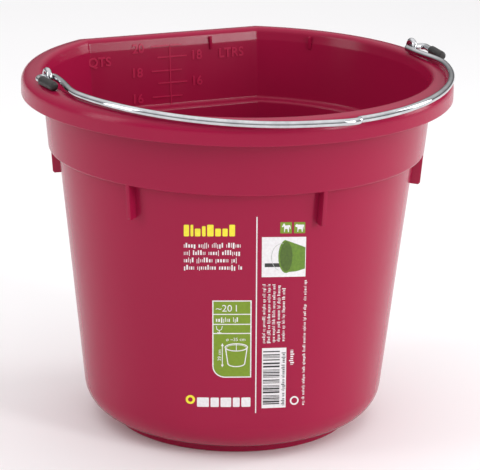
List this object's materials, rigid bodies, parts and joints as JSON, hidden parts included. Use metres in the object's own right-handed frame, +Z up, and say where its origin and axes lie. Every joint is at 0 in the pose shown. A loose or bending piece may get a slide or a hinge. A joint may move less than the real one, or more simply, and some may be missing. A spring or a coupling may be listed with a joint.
{
  "type": "flat-back feed bucket",
  "caption": "Moulded feed bucket with a flat back, rolled rim and nesting shoulder, and a swinging steel wire bail held in wire eyes on the rim.",
  "frame": {"origin": "on the floor under the middle of the whole outline, the resting bail included; the bucket's own axis is 14.5 mm behind it", "axes": "+Z up, +Y towards the flat back, +X towards the right eye as seen from the front"},
  "size_m": [0.3513, 0.3375, 0.3043],
  "materials": {
    "bucket_plastic": "raspberry red moulded polypropylene, smooth satin gloss",
    "bail_steel": "bright plated steel wire",
    "plate_steel": "dull zinc-plated steel",
    "cap_plastic": "dark grey semi-matt plastic"
  },
  "bodies": {
    "bucket": {"bucket_shell": "bucket_plastic", "bail_eye_left": "bail_steel", "bail_eye_right": "bail_steel", "backing_plate_left": "plate_steel", "backing_plate_right": "plate_steel"},
    "bail": {"bail_wire": "bail_steel", "bail_cap_left": "cap_plastic", "bail_cap_right": "cap_plastic"}
  },
  "joints": [
    {"name": "bail_swing", "type": "hinge", "parent": "bucket", "child": "bail", "pos_m": [0.00175, 0.0235, 0.2965], "axis": [-1, 0, 0], "range_deg": [0, 180]}
  ]
}
